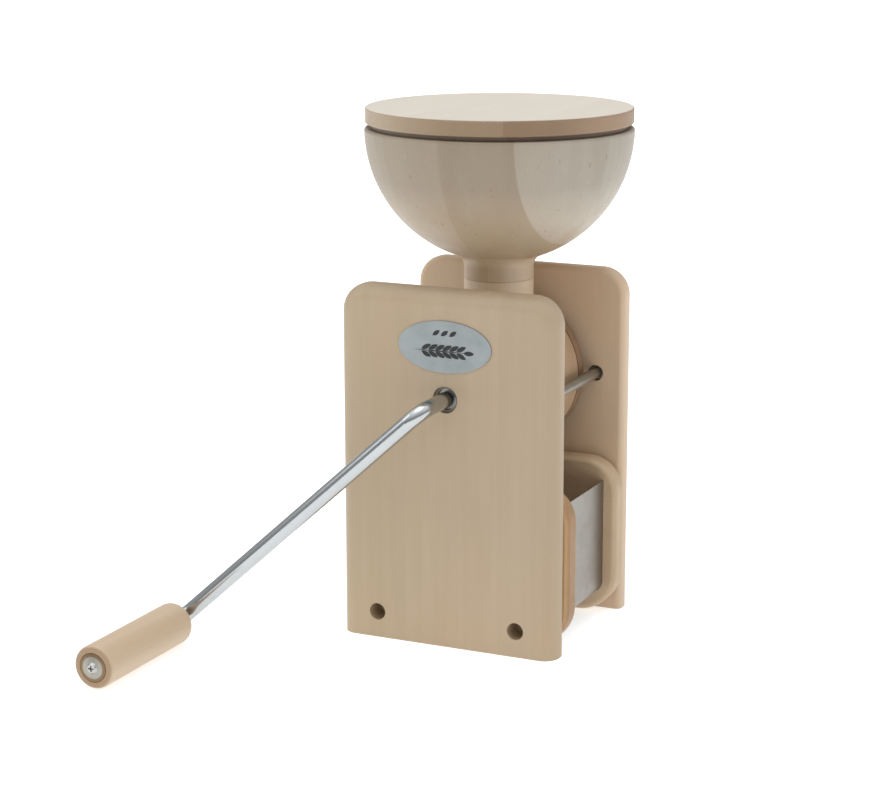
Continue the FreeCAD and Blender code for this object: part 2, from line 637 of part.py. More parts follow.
def adjusting_knob():
    """A turned wooden knob with finger flutes, on a threaded brass insert."""
    body = new_body("adjusting_knob", y="knob_start", z="axle_height")
    pad(body, circles(body, "Disc", "XZ_Plane", [("0", "0", "knob_radius")]), "knob_end - knob_start")
    flute = pocket(body, circles(body, "Flute", "XZ_Plane", [
        ("knob_flute_circle", "0", "knob_flute_radius")]))
    pattern = body.newObject("PartDesign::PolarPattern", "Flutes")
    pattern.Originals = [flute]
    pattern.Axis = (flute.Profile[0], ["N_Axis"])
    pattern.Occurrences = KNOB_FLUTES
    body.Tip = pattern
    doc.recompute()
    rear = size("knob_end") - size("knob_start")
    fillet(body, "knob_round", lambda edge: lies_at_y(edge, rear))
    pocket(body, circles(body, "Recess", "XZ_Plane", [("0", "0", "knob_recess_radius")]))
    pocket(body, circles(body, "Seat", "XZ_Plane", [("0", "0", "insert_radius + seat_clearance")]),
           "insert_end - knob_start")
    keep(body, "adjusting_knob")
    insert = cut([axle_bar("knob_start", "insert_end", "insert_radius"),
                  axle_bar("mill_depth + washer_thickness + loose_clearance", "knob_start",
                           "insert_flange_radius")],
                 [axle_bar("mill_depth", "insert_end + overrun", "sleeve_radius + running_clearance")])
    keep(insert, "knob_insert")
    keep(joined([axle_bar("cap_start", "knob_end", "knob_recess_radius - seat_clearance"),
                 axle_bar("knob_end", "knob_end + cap_crown", "knob_recess_radius - seat_clearance",
                          "knob_recess_radius - cap_taper")]), "knob_cap")


def shaft_nut():
    """The nut that holds the axle back against the bearing sleeve."""
    start = "thrust_start + thrust_thickness"
    prism = doc.addObject("Part::Prism", "Hexagon")
    prism.Polygon = 6
    prism.setExpression("Circumradius", bound("nut_radius"))
    prism.setExpression("Height", bound("nut_height"))
    prism.Placement = FreeCAD.Placement(FreeCAD.Vector(), TURN["Y"])
    prism.setExpression("Placement.Base.y", bound(station(start)))
    prism.setExpression("Placement.Base.z", bound("axle_height"))
    keep(cut([prism], [axle_bar(f"{start} - overrun", f"{start} + nut_height + overrun",
                                "thread_radius + seat_clearance")]), "shaft_nut")


# ---- the crank -----------------------------------------------------------------------------------

def crank_turn():
    """The rotation that swings the crank from pointing along +X to its resting angle."""
    return FreeCAD.Rotation(FreeCAD.Vector(0, 1, 0), 180.0 - size("crank_rest_angle"))


def crank_body(label):
    """A body whose local X runs from the axle to the grip and whose local Y is the axle's."""
    body = doc.addObject("PartDesign::Body", label)
    body.Placement = FreeCAD.Placement(FreeCAD.Vector(), crank_turn())
    body.setExpression("Placement.Rotation.Angle", bound("180 - crank_rest_angle"))
    body.setExpression("Placement.Base.y", bound(station("0")))
    body.setExpression("Placement.Base.z", bound("axle_height"))
    return body


def crank_rod():
    """A round bar bent twice: out of the axle, along the arm, and out again inside the grip."""
    body = crank_body("bent_bar")
    corner = FreeCAD.Vector(0, -size("crank_stub"), 0)
    elbow = FreeCAD.Vector(size("crank_arm_length"), -size("crank_stub") - size("crank_lean"), 0)
    start = FreeCAD.Vector(0, size("socket_end") - size("rod_end_gap"), 0)
    tip = FreeCAD.Vector(elbow.x, -size("rod_tip"), 0)
    path = new_sketch(body, "Path", "XY_Plane")
    bends = [bend_arc(start, corner, elbow, size("crank_bend")),
             bend_arc(corner, elbow, tip, size("crank_bend"))]
    runs = [(start, bends[0].StartPoint), (bends[0].EndPoint, bends[1].StartPoint), (bends[1].EndPoint, tip)]
    order = [Part.LineSegment(*runs[0]), bends[0], Part.LineSegment(*runs[1]), bends[1],
             Part.LineSegment(*runs[2])]
    for piece in order + [Part.Point(corner), Part.Point(elbow)]:
        path.addGeometry(piece)
    for number, run in zip((1, 3), runs):
        first = near_end(path, number, run[1])
        path.addConstraint(Sketcher.Constraint("Tangent", number - 1, 2, number, first))
        path.addConstraint(Sketcher.Constraint("Tangent", number, 3 - first, number + 1, 1))
        index = path.addConstraint(Sketcher.Constraint("Radius", number, size("crank_bend")))
        path.setExpression(f"Constraints[{index}]", bound("crank_bend"))
    for point, before, after, depth in ((5, 0, 2, "-crank_stub"), (6, 2, 4, "-crank_stub - crank_lean")):
        path.toggleConstruction(point)
        path.addConstraint(Sketcher.Constraint("PointOnObject", point, 1, before))
        path.addConstraint(Sketcher.Constraint("PointOnObject", point, 1, after))
        index = path.addConstraint(Sketcher.Constraint("DistanceY", -1, 1, point, 1,
                                                       path.getPoint(point, 1).y))
        path.setExpression(f"Constraints[{index}]", bound(depth))
    path.addConstraint(Sketcher.Constraint("Vertical", 0))
    path.addConstraint(Sketcher.Constraint("Vertical", 4))
    pin_point(path, 0, 1, "0", "socket_end - rod_end_gap")
    pin_point(path, 4, 2, "crank_arm_length", "-rod_tip")
    doc.recompute()
    profile = circles(body, "Section", "XZ_Plane", [("0", "0", "crank_rod_radius")],
                      "rod_end_gap - socket_end")
    pipe = body.newObject("PartDesign::AdditivePipe", "Rod")
    pipe.Profile = profile
    pipe.Spine = path
    doc.recompute()
    keep(cut([body], [grip_bar("-rod_tip - overrun", "-rod_tip + grip_screw_length + overrun",
                               "grip_screw_radius + seat_clearance")]), "crank_rod")


def bend_arc(before, corner, after, radius):
    """The arc of one radius that joins two runs at their corner."""
    back = (before - corner).normalize()
    ahead = (after - corner).normalize()
    half = back.getAngle(ahead) / 2
    reach = radius / math.tan(half)
    middle = (back + ahead).normalize()
    centre = corner + middle * (radius / math.sin(half))
    return Part.Arc(corner + back * reach, centre - middle * radius, corner + ahead * reach)


def near_end(sketch, number, place):
    """1 if a sketch's arc starts nearer to the given point, 2 if it ends nearer to it."""
    gaps = [(sketch.getPoint(number, end) - place).Length for end in (1, 2)]
    return 1 if gaps[0] < gaps[1] else 2


def grip_bar(start, end, radius, end_radius=None):
    """A bar on the grip's own axis, which is parallel to the axle at the end of the arm."""
    return bar("Y", start, end, radius, end_radius, x="-crank_arm_length * cos(crank_rest_angle)",
               z="axle_height - crank_arm_length * sin(crank_rest_angle)")


def grip():
    """The turned wooden grip, free to spin on the end of the rod."""
    half = size("panel_thickness") / 2
    stock = grip_bar("-grip_outer", "-grip_inner", "grip_radius")
    inner_rounded = rounded(stock, "grip_end_round", circle_at(
        "y", -size("grip_inner") - half, size("grip_radius")))
    handle = rounded(inner_rounded, "grip_face_round", circle_at(
        "y", -size("grip_outer") - half, size("grip_radius")))
    keep(cut([handle], [
        grip_bar("-grip_outer - overrun", "-grip_inner + overrun", "grip_bore_radius"),
        grip_bar("-grip_inner - grip_mouth_depth", "-grip_inner + hair", "grip_bore_radius",
                 "grip_mouth_radius"),
        grip_bar("-grip_outer - overrun", "-rod_tip + grip_play", "grip_seat_radius")]), "grip")


def grip_fastener():
    """A domed washer and a cross-head screw in the rod's tip keep the grip on."""
    rim = "-rod_tip - grip_washer_rim"
    crown = f"{rim} - grip_screw_head + screw_head_sink"
    keep(cut([grip_bar(rim, "-rod_tip", "grip_washer_radius"),
              grip_bar(crown, rim, "washer_crown_radius", "grip_washer_radius")],
             [grip_bar(f"{crown} - overrun", "-rod_tip + overrun", "grip_screw_radius + seat_clearance")]),
         "grip_washer")
    face = f"{crown} - grip_screw_head"
    slots = []
    for long_side, short_side in (("Length", "Height"), ("Height", "Length")):
        slot = doc.addObject("Part::Box", "CrossSlot")
        slot.setExpression(long_side, bound("grip_screw_head_radius * slot_reach"))
        slot.setExpression(short_side, bound("grip_screw_head_radius * slot_width"))
        slot.setExpression("Width", bound("slot_rise + slot_depth"))
        slot.setExpression("Placement.Base.x", bound(
            f"-crank_arm_length * cos(crank_rest_angle) - {slot.Name}.Length / 2 / 1mm"))
        slot.setExpression("Placement.Base.y", bound(station(f"{face} - slot_rise")))
        slot.setExpression("Placement.Base.z", bound(
            f"axle_height - crank_arm_length * sin(crank_rest_angle) - {slot.Name}.Height / 2 / 1mm"))
        slots.append(slot)
    keep(cut([grip_bar(crown, "-rod_tip + grip_screw_length", "grip_screw_radius"),
              grip_bar(face, crown, "grip_screw_head_radius * screw_head_taper",
                       "grip_screw_head_radius")], slots), "grip_screw")


# ---- hopper and lid ------------------------------------------------------------------------------

def half_ball(radius):
    """The lower half of a ball, centred in the hopper's rim."""
    ball = doc.addObject("Part::Sphere", "Ball")
    ball.setExpression("Radius", bound(radius))
    ball.Angle1 = -90.0
    ball.Angle2 = 0.0
    ball.setExpression("Placement.Base.y", bound(station("hopper_station")))
    ball.setExpression("Placement.Base.z", bound("bowl_centre_z"))
    return ball


def hopper():
    """A thick turned bowl, glued to a hollow neck with a spigot that drops into the feed socket."""
    outside = joined([half_ball("bowl_radius"),
                      upright_bar("neck_bottom_z", "neck_stock_top_z", "neck_radius")])
    flared = rounded(outside, "neck_flare", lambda edge: isinstance(edge.Curve, Part.Circle)
                     and abs(edge.Curve.Radius - size("neck_radius")) < SAME
                     and edge.Curve.Center.z > size("neck_bottom_z") + size("overrun"))
    hollow = cut([flared, upright_bar("spigot_bottom_z", "neck_bottom_z + overrun", "spigot_radius")],
                 [half_ball("bowl_radius - bowl_wall"),
                  upright_bar("spigot_bottom_z - overrun", "neck_stock_top_z", "throat_radius")])
    smooth = rounded(hollow, "rim_round", circle_at("z", size("bowl_centre_z"), size("bowl_radius")))
    below_joint = upright_bar("spigot_bottom_z - overrun", "neck_joint_z", "bowl_radius")
    keep(cut([smooth], [below_joint]), "hopper_bowl")
    neck = doc.addObject("Part::MultiCommon", "Neck")
    neck.Shapes = [smooth, below_joint]
    keep(neck, "hopper_neck")


def lid():
    top = "lid_bottom_z + lid_thickness"
    disc = upright_bar("lid_bottom_z", top, "lid_radius")
    keep(rounded(disc, "lid_edge_round", lambda edge: isinstance(edge.Curve, Part.Circle)), "lid")
    keep(joined([upright_bar("bowl_centre_z + lid_play", "lid_bottom_z", "lid_step_radius"),
                 upright_bar("bowl_centre_z - lid_plug_depth", "bowl_centre_z + lid_play",
                             "lid_plug_radius")]),
         "lid_plug")


# ---- the drawer ----------------------------------------------------------------------------------

def tray_outline(grow):
    """The bent sheet's U-shaped section, with its thickness grown on both sides."""
    outer = f"tray_half_width + {grow}"
    inner = f"tray_half_width - tray_sheet - {grow}"
    low = f"tray_bottom_z - {grow}"
    floor = f"tray_bottom_z + tray_sheet + {grow}"
    high = f"tray_top_z + {grow}"
    right = [(outer, low), (outer, high), (inner, high), (inner, floor)]
    left = [(f"-({x})", z) for x, z in reversed(right)]
    return right + left


def bend_corners(body, grow):
    """Gives the U's lower corners the sheet's bend radius, outside and inside."""
    for alias, half_width, height in (
            ("tray_bend_outer", size("tray_half_width") + grow, size("tray_bottom_z") - grow),
            ("tray_bend_inner", size("tray_half_width") - size("tray_sheet") - grow,
             size("tray_bottom_z") + size("tray_sheet") + grow)):
        def chosen(edge):
            box = edge.BoundBox
            return (runs_along_y(edge) and abs(abs(box.XMin) - half_width) < SAME
                    and abs(box.ZMin - height) < SAME)
        fillet(body, alias, chosen)


def drawer_end(label, rear):
    """One wooden end of the drawer, grooved on its inner face for the bent steel tray."""
    start = "mill_depth - panel_thickness - drawer_side_gap" if rear else "panel_thickness + drawer_side_gap"
    body = new_body(label, y=start, turn=180.0 if rear else 0.0)
    outline = polygon(body, "Outline", "XZ_Plane", [
        ("-drawer_half_width", "drawer_floor_gap"), ("drawer_half_width", "drawer_floor_gap"),
        ("drawer_half_width", "drawer_height"), ("-drawer_half_width", "drawer_height")])
    pad(body, outline, "drawer_end_thickness")
    middle = size("drawer_height") / 2
    thickness = size("drawer_end_thickness")
    fillet(body, "drawer_top_radius", lambda edge: runs_along_y(edge) and edge.BoundBox.ZMin > middle)
    fillet(body, "drawer_foot_radius", lambda edge: runs_along_y(edge)
           and edge.BoundBox.ZMin < size("drawer_floor_gap") + NEAR)
    fillet(body, "drawer_edge_round", lambda edge: lies_at_y(edge, 0.0) or lies_at_y(edge, thickness))
    groove = polygon(body, "Groove", "XZ_Plane", tray_outline("groove_play"), "-drawer_end_thickness")
    pocket(body, groove, "groove_depth", flip=True)
    bend_corners(body, size("groove_play"))
    keep(body, label)


def drawer_tray():
    """One steel sheet bent into a U: the drawer's floor and its two long walls."""
    body = new_body("drawer_tray",
                    y="panel_thickness + drawer_side_gap + drawer_end_thickness - groove_depth + groove_play")
    section = polygon(body, "Section", "XZ_Plane", tray_outline("0"))
    pad(body, section, "mill_depth - 2 * (panel_thickness + drawer_side_gap + drawer_end_thickness"
        " - groove_depth + groove_play)")
    bend_corners(body, 0.0)
    keep(body, "drawer_tray")


def drawer():
    drawer_end("drawer_front_end", rear=False)
    drawer_end("drawer_rear_end", rear=True)
    drawer_tray()


build_steps = [front_board, back_board, label_plate, tie_rods, housing_body, housing_rear_cover,
               housing_fasteners, feed_socket, simple_rings, front_bearing, drive_shaft, stone_carrier,
               stones, feed_auger, pressure_spring, bearing_sleeve, adjusting_knob, shaft_nut,
               crank_rod, grip, grip_fastener, hopper, lid, drawer]
for step in build_steps:
    step()
doc.recompute()
for item in doc.Objects:
    if "Invalid" in item.State or "Error" in item.State:
        raise RuntimeError(f"{item.Label} did not build: {item.State}")
for item in SUB_PARTS:
    if item.Shape.isNull() or not item.Shape.isValid():
        raise RuntimeError(f"{item.Label} has no valid shape")
    item.Shape.exportStep(os.path.join("parts", item.Label + ".step"))
    print(item.Label, len(item.Shape.Solids), round(item.Shape.Volume))
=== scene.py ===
import bmesh
import bpy
import math
from mathutils import Matrix, Vector


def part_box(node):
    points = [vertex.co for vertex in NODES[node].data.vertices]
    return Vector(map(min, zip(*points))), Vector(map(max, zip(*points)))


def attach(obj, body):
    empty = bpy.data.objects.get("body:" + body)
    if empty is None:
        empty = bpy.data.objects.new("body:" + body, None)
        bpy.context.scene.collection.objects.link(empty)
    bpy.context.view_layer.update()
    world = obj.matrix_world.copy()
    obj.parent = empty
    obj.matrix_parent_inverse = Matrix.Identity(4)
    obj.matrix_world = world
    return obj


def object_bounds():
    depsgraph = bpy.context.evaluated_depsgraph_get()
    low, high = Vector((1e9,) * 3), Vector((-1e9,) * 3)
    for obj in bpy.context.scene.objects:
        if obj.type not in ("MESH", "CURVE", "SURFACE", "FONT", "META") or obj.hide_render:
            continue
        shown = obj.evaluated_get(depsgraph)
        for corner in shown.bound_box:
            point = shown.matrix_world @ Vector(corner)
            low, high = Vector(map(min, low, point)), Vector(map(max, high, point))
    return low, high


# Hand-cranked grain mill: oiled beech boards, a pale turned hopper, a chromed crank and a steel
# flour tray. Metres, +Z up, the crank on the -Y side. A CAD node's mesh lies in the row frame, so
# its object coordinates are the mill's own and a board's grain runs on through its whole length.

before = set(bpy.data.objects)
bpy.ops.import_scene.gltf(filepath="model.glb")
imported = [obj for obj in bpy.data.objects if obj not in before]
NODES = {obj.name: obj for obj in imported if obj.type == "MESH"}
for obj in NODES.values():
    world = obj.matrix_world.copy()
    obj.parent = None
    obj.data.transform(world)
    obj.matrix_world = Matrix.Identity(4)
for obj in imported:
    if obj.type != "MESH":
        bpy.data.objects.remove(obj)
CAD_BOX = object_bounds()

MM = 0.001
UP = (0.0, 0.0, 1.0)
ALONG_X = (1.0, 0.0, 0.0)
ALONG_Y = (0.0, 1.0, 0.0)


def centre(node):
    """The middle of a CAD node's box."""
    low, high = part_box(node)
    return (Vector(low) + Vector(high)) / 2


def linear(red, green, blue):
    """A colour given as 0-255 display values, as the shader's linear ones."""
    return tuple((value / 255 / 12.92) if value < 11 else ((value / 255 + 0.055) / 1.055) ** 2.4
                 for value in (red, green, blue)) + (1.0,)


# ---- shader building -----------------------------------------------------------------------------

class Graph:
    """A material under construction, with short names for the nodes it is made of."""

    def __init__(self, name, roughness, metallic=0.0):
        self.material = bpy.data.materials.new(name)
        self.material.use_nodes = True
        self.tree = self.material.node_tree
        self.shader = self.tree.nodes["Principled BSDF"]
        self.shader.inputs["Roughness"].default_value = roughness
        self.shader.inputs["Metallic"].default_value = metallic
        self.place = self.node("TexCoord").outputs["Object"]

    def node(self, kind, **settings):
        item = self.tree.nodes.new("ShaderNode" + kind)
        for key, value in settings.items():
            setattr(item, key, value)
        return item

    def join(self, output, target):
        self.tree.links.new(output, target)

    def math(self, operation, first, second=0.0):
        item = self.node("Math", operation=operation)
        for socket, value in zip(item.inputs, (first, second)):
            if isinstance(value, (int, float)):
                socket.default_value = value
            else:
                self.join(value, socket)
        return item.outputs[0]

    def along(self, direction, origin=(0.0, 0.0, 0.0)):
        """How far a point lies along a direction, from an origin."""
        shifted = self.node("VectorMath", operation="SUBTRACT")
        self.join(self.place, shifted.inputs[0])
        shifted.inputs[1].default_value = origin
        product = self.node("VectorMath", operation="DOT_PRODUCT")
        self.join(shifted.outputs["Vector"], product.inputs[0])
        product.inputs[1].default_value = Vector(direction).normalized()
        return product.outputs["Value"]

    def facing(self, direction):
        """The surface normal's part along a direction, in the object's own axes."""
        product = self.node("VectorMath", operation="DOT_PRODUCT")
        self.join(self.node("TexCoord").outputs["Normal"], product.inputs[0])
        product.inputs[1].default_value = direction
        return product.outputs["Value"]

    def stretched(self, axis, squeeze):
        """The place, squeezed along an axis, so that a texture on it is drawn out that way."""
        mapping = self.node("Mapping")
        self.join(self.place, mapping.inputs["Vector"])
        mapping.inputs["Scale"].default_value = [1.0 - (1.0 - squeeze) * abs(part) for part in axis]
        return mapping.outputs["Vector"]

    def noise(self, vector, scale, detail=3.0, roughness=0.55, distortion=0.0):
        item = self.node("TexNoise")
        self.join(vector, item.inputs["Vector"])
        item.inputs["Scale"].default_value = scale
        item.inputs["Detail"].default_value = detail
        item.inputs["Roughness"].default_value = roughness
        item.inputs["Distortion"].default_value = distortion
        return item.outputs["Fac"]

    def ramp(self, value, stops):
        """A colour looked up along a list of (position, colour), straight between them."""
        item = self.node("ValToRGB")
        while len(item.color_ramp.elements) < len(stops):
            item.color_ramp.elements.new(0.5)
        for element, (position, colour) in zip(item.color_ramp.elements, stops):
            element.position = position
            element.color = colour
        self.join(value, item.inputs["Fac"])
        return item.outputs["Color"]

    def mix(self, factor, first, second, blend="MIX"):
        item = self.node("Mix", data_type="RGBA", blend_type=blend)
        for socket, value in zip((item.inputs[0], item.inputs[6], item.inputs[7]), (factor, first, second)):
            if isinstance(value, (int, float, tuple)):
                socket.default_value = value
            else:
                self.join(value, socket)
        return item.outputs[2]

    def span(self, value, low, high, to_low=0.0, to_high=1.0):
        """Maps one range onto another, held at its ends."""
        item = self.node("MapRange")
        self.join(value, item.inputs["Value"])
        for name, number in (("From Min", low), ("From Max", high), ("To Min", to_low), ("To Max", to_high)):
            item.inputs[name].default_value = number
        return item.outputs["Result"]

    def bump(self, height, strength, distance):
        item = self.node("Bump")
        item.inputs["Strength"].default_value = strength
        item.inputs["Distance"].default_value = distance
        self.join(height, item.inputs["Height"])
        self.join(item.outputs["Normal"], self.shader.inputs["Normal"])


# Widths of the lines and edges drawn on the wood and metal: glue lines, seam lines with their
# painted shade, the edge of the lid's painted sheen and the blend into the washer's painted shade.
GLUE_LINE = 0.4 * MM
SEAM_SHADE_LINE = 1.5 * MM
SHEEN_EDGE = 0.5 * MM
RIM_SHADE_BLEND = 0.8 * MM

# How strongly each part of the figure shows, with the painted shade on the seam lines and the
# grain that shows through the lid's painted sheen.
GLUE_DARKNESS = 0.16
BLUSH = 0.8
BANDS = 0.36
FIBRES = 0.26
FLECKS = 0.30
GLINTS = 0.5
SEAM_SHADE_DARKNESS = 0.85
SHEEN_FIGURE = 0.35

# The tones of the figure and of the painted shade on the seam lines, as factors of the wood's own tone.
DARK_GRAIN = (0.80, 0.745, 0.67)
PALE_GRAIN = (1.05, 1.055, 1.065)
ROSY_GRAIN = (1.03, 0.975, 0.95)
GLINT_TONE = (1.14, 1.13, 1.12)
STROKE_TONE = (0.52, 0.42, 0.32)
SEAM_SHADE_TONE = (0.42, 0.31, 0.22)
END_GRAIN = (0.60, 0.50, 0.40)

# Ray marks: cells per metre, squeeze along the grain, (solid, faded) reach in cells, and the share
# of the cells that hold a mark.
FLECK_MARKS = (620.0, 0.22, (0.10, 0.24), 0.45)
GLINT_MARKS = (210.0, 0.12, (0.06, 0.13), 0.22)
STROKE_MARKS = (160.0, 0.35, (0.05, 0.17), 0.5)


def shaded(tone, factors):
    """A tone with each of its channels scaled."""
    return tuple(min(part * factor, 1.0) for part, factor in zip(tone, factors)) + (1.0,)


def flat_boards(first, width, tones):
    """Boards of one width and one tone each, from a first edge on."""
    return [[(first + width * number, tone), (first + width * (number + 1), tone)]
            for number, tone in enumerate(tones)]


def board_shade(graph, boards, colour, dark):
    """Tints the glued boards, with a hair-thin glue line wherever two of them meet.

    boards is (direction, origin, parts). Each part is one board's list of (distance, tone); on the
    hopper, neck and lid these tones hold painted light and shade as well as the boards' own tones.
    """
    direction, origin, parts = boards
    across = graph.along(direction, origin)
    first, last = parts[0][0][0], parts[-1][-1][0]
    reach = last - first
    stops = [((distance - first) / reach, tone + (1.0,)) for part in parts for distance, tone in part]
    tint = graph.ramp(graph.span(across, first, last), stops)
    colour = graph.mix(1.0, colour, tint, "MULTIPLY")
    for part in parts[1:]:
        to_joint = graph.math("ABSOLUTE", graph.math("SUBTRACT", across, part[0][0]))
        colour = graph.mix(graph.span(to_joint, 0.0, GLUE_LINE, GLUE_DARKNESS, 0.0), colour, dark)
    return colour


def ray_marks(graph, axis, marks, strength):
    """Short marks drawn out along the grain, where the wood's rays are cut.

    Gives the strength on a mark and 0 off it. marks is one of the tuples above.
    """
    scale, squeeze, reach, share = marks
    cells = graph.node("TexVoronoi", feature="F1")
    graph.join(graph.stretched(axis, squeeze), cells.inputs["Vector"])
    cells.inputs["Scale"].default_value = scale
    split = graph.node("SeparateColor")
    graph.join(cells.outputs["Color"], split.inputs["Color"])
    chosen = graph.math("LESS_THAN", split.outputs[0], share)
    mark = graph.span(cells.outputs["Distance"], reach[0], reach[1], 1.0, 0.0)
    return graph.math("MULTIPLY", graph.math("MULTIPLY", mark, chosen), strength)


def wood(name, tone, axis=UP, boards=None, roughness=0.48, figure=1.0, strokes=0.0, painted_top_sheen=None,
         top_level=0.0, seam_and_shade_lines=(), painted_light_ramp=None, end_shade=0.2):
    """Oiled wood: fine fibres, growth bands, ray flecks and glued boards of differing tone.

    figure scales the grain's contrast, and strokes is the strength of sparse longer dark marks.
    The top tone, if given, is a painted sheen: a paler colour at top_level, the piece's top, in
    place of light glancing off it. The seam lines are the Y positions of dark seam lines, with
    painted shade added for the groove or edge they lie in. The light ramp is (direction, from,
    to, factors): painted light that scales the colour towards one end of a piece, here brighter
    low down in place of light from below. The board tones of the hopper, neck and lid hold
    painted light and shade as well. end_shade is how much darker the cut ends are.
    """
    graph = Graph(name, roughness)
    fibres = graph.noise(graph.stretched(axis, 0.012), 900.0, 4.0, 0.6)
    streaks = graph.noise(graph.stretched(axis, 0.035), 95.0, 4.0, 0.55, 0.6)
    bands = graph.noise(graph.stretched(axis, 0.12), 17.0, 2.0, 0.5, 1.4)
    blush = graph.noise(graph.stretched(axis, 0.35), 9.0, 2.0)
    dark = shaded(tone, DARK_GRAIN)
    colour = graph.mix(graph.span(streaks, 0.34, 0.70), shaded(tone, PALE_GRAIN), tone)
    blush_strength = graph.math("MULTIPLY", graph.span(blush, 0.42, 0.68), BLUSH)
    colour = graph.mix(blush_strength, colour, shaded(tone, ROSY_GRAIN))
    band_strength = graph.math("MULTIPLY", graph.span(bands, 0.44, 0.72), BANDS * figure)
    colour = graph.mix(band_strength, colour, dark)
    fibre_strength = graph.math("MULTIPLY", graph.span(fibres, 0.50, 0.78), FIBRES * figure)
    colour = graph.mix(fibre_strength, colour, dark)
    if boards:
        colour = board_shade(graph, boards, colour, dark)
    # Painted light: the colour is scaled towards one end of the piece, here brighter low down, in place of
    # light from below.
    if painted_light_ramp:
        direction, start, end, factors = painted_light_ramp
        painted_lit = graph.mix(1.0, colour, factors + (1.0,), "MULTIPLY")
        colour = graph.mix(graph.span(graph.along(direction), start, end), colour, painted_lit)
    # Painted sheen: the piece's top takes a paler colour in place of light glancing off it, with some grain
    # bands showing through.
    if painted_top_sheen:
        upward = graph.span(graph.along(UP), top_level - SHEEN_EDGE, top_level)
        top = graph.mix(graph.math("MULTIPLY", band_strength, SHEEN_FIGURE), painted_top_sheen, colour)
        colour = graph.mix(upward, colour, top)
    flecks = ray_marks(graph, axis, FLECK_MARKS, FLECKS * figure)
    colour = graph.mix(flecks, colour, dark)
    colour = graph.mix(ray_marks(graph, axis, GLINT_MARKS, GLINTS * figure), colour, shaded(tone, GLINT_TONE))
    if strokes:
        colour = graph.mix(ray_marks(graph, axis, STROKE_MARKS, strokes), colour, shaded(tone, STROKE_TONE))
    # Dark seam lines, deepened with painted shade for the groove or edge they lie in.
    for position in seam_and_shade_lines:
        away = graph.math("ABSOLUTE", graph.math("SUBTRACT", graph.along(ALONG_Y), position))
        line = graph.span(away, SEAM_SHADE_LINE / 2, SEAM_SHADE_LINE, SEAM_SHADE_DARKNESS, 0.0)
        colour = graph.mix(line, colour, shaded(tone, SEAM_SHADE_TONE))
    cut_across = graph.span(graph.math("ABSOLUTE", graph.facing(axis)), 0.45, 0.95)
    colour = graph.mix(graph.math("MULTIPLY", cut_across, end_shade), colour, shaded(tone, END_GRAIN))
    graph.join(colour, graph.shader.inputs["Base Color"])
    graph.join(graph.span(streaks, 0.3, 0.75, roughness - 0.06, roughness + 0.10),
               graph.shader.inputs["Roughness"])
    graph.bump(graph.math("SUBTRACT", fibres, flecks), 0.16, 0.00012)
    graph.shader.inputs["Coat Weight"].default_value = 0.06
    graph.shader.inputs["Coat Roughness"].default_value = 0.34
    return graph.material


def metal(name, tone, roughness, brushed=None, depth=0.10, tint_wear=0.12, painted_rim_shade=None):
    """Bare or plated metal with a drawn or brushed grain, faint smudges and worn patches.

    The painted edge shade, if given, is (centre, radius, tone): painted shade on a round piece
    along Y outside the radius, standing in for the shadow of a recess round it.
    """
    graph = Graph(name, roughness, 1.0)
    smudge = graph.noise(graph.place, 70.0, 4.0, 0.6)
    grain = graph.noise(graph.stretched(brushed or UP, 0.02 if brushed else 1.0), 2600.0, 2.0)
    worn = tuple(part * (1.0 - tint_wear) for part in tone[:3]) + (1.0,)
    colour = graph.mix(graph.span(smudge, 0.40, 0.72), tone, worn)
    # Painted shade outside the radius, standing in for the shadow of a recess round the piece.
    if painted_rim_shade:
        middle, radius, recess_shade = painted_rim_shade
        sideways = graph.math("POWER", graph.along(ALONG_X, middle), 2.0)
        upward = graph.math("POWER", graph.along(UP, middle), 2.0)
        out = graph.math("SQRT", graph.math("ADD", sideways, upward))
        colour = graph.mix(graph.span(out, radius - RIM_SHADE_BLEND, radius), colour, recess_shade)
    graph.join(colour, graph.shader.inputs["Base Color"])
    spread = graph.math("ADD", graph.math("MULTIPLY", smudge, 0.10),
                        graph.math("MULTIPLY", grain, 0.12 if brushed else 0.03))
    graph.join(graph.math("ADD", spread, max(roughness - 0.08, 0.02)), graph.shader.inputs["Roughness"])
    graph.bump(grain, depth, 0.00004)
    return graph.material


def stone(name):
    """Bonded abrasive: pale grit of mixed grain size, with open pores."""
    graph = Graph(name, 0.92)
    grit = graph.node("TexVoronoi", feature="F1")
    graph.join(graph.place, grit.inputs["Vector"])
    grit.inputs["Scale"].default_value = 900.0
    cloud = graph.noise(graph.place, 60.0, 5.0)
    colour = graph.ramp(grit.outputs["Color"], [(0.0, linear(120, 114, 106)), (0.45, linear(176, 170, 160)),
                                                (1.0, linear(214, 208, 198))])
    graph.join(graph.mix(graph.span(cloud, 0.4, 0.7), colour, linear(150, 142, 130)),
               graph.shader.inputs["Base Color"])
    graph.bump(grit.outputs["Distance"], 0.55, 0.0004)
    return graph.material


# ---- materials of each node ----------------------------------------------------------------------

HOPPER_AXIS = centre("hopper_bowl")
HOPPER_TURN = math.radians(-5.0)
HOPPER_ACROSS = (math.cos(HOPPER_TURN), math.sin(HOPPER_TURN), 0.0)
HOPPER_ALONG = (-math.sin(HOPPER_TURN), math.cos(HOPPER_TURN), 0.0)

BEECH = linear(175, 157, 131)
INNER_BEECH = linear(205, 183, 155)
DRAWER_BEECH = linear(188, 154, 112)
# Painted shade: the housing's beech is painted darker, for the shade it stands in between the panels.
DRAWER_REAR_BEECH = linear(190, 168, 138)
HOUSING_SHADED_BEECH = linear(178, 150, 119)
SOCKET_BEECH = linear(206, 186, 160)
CAP_BEECH = linear(160, 126, 86)
COVER_BEECH = linear(140, 112, 86)
MAPLE = linear(165, 156, 141)
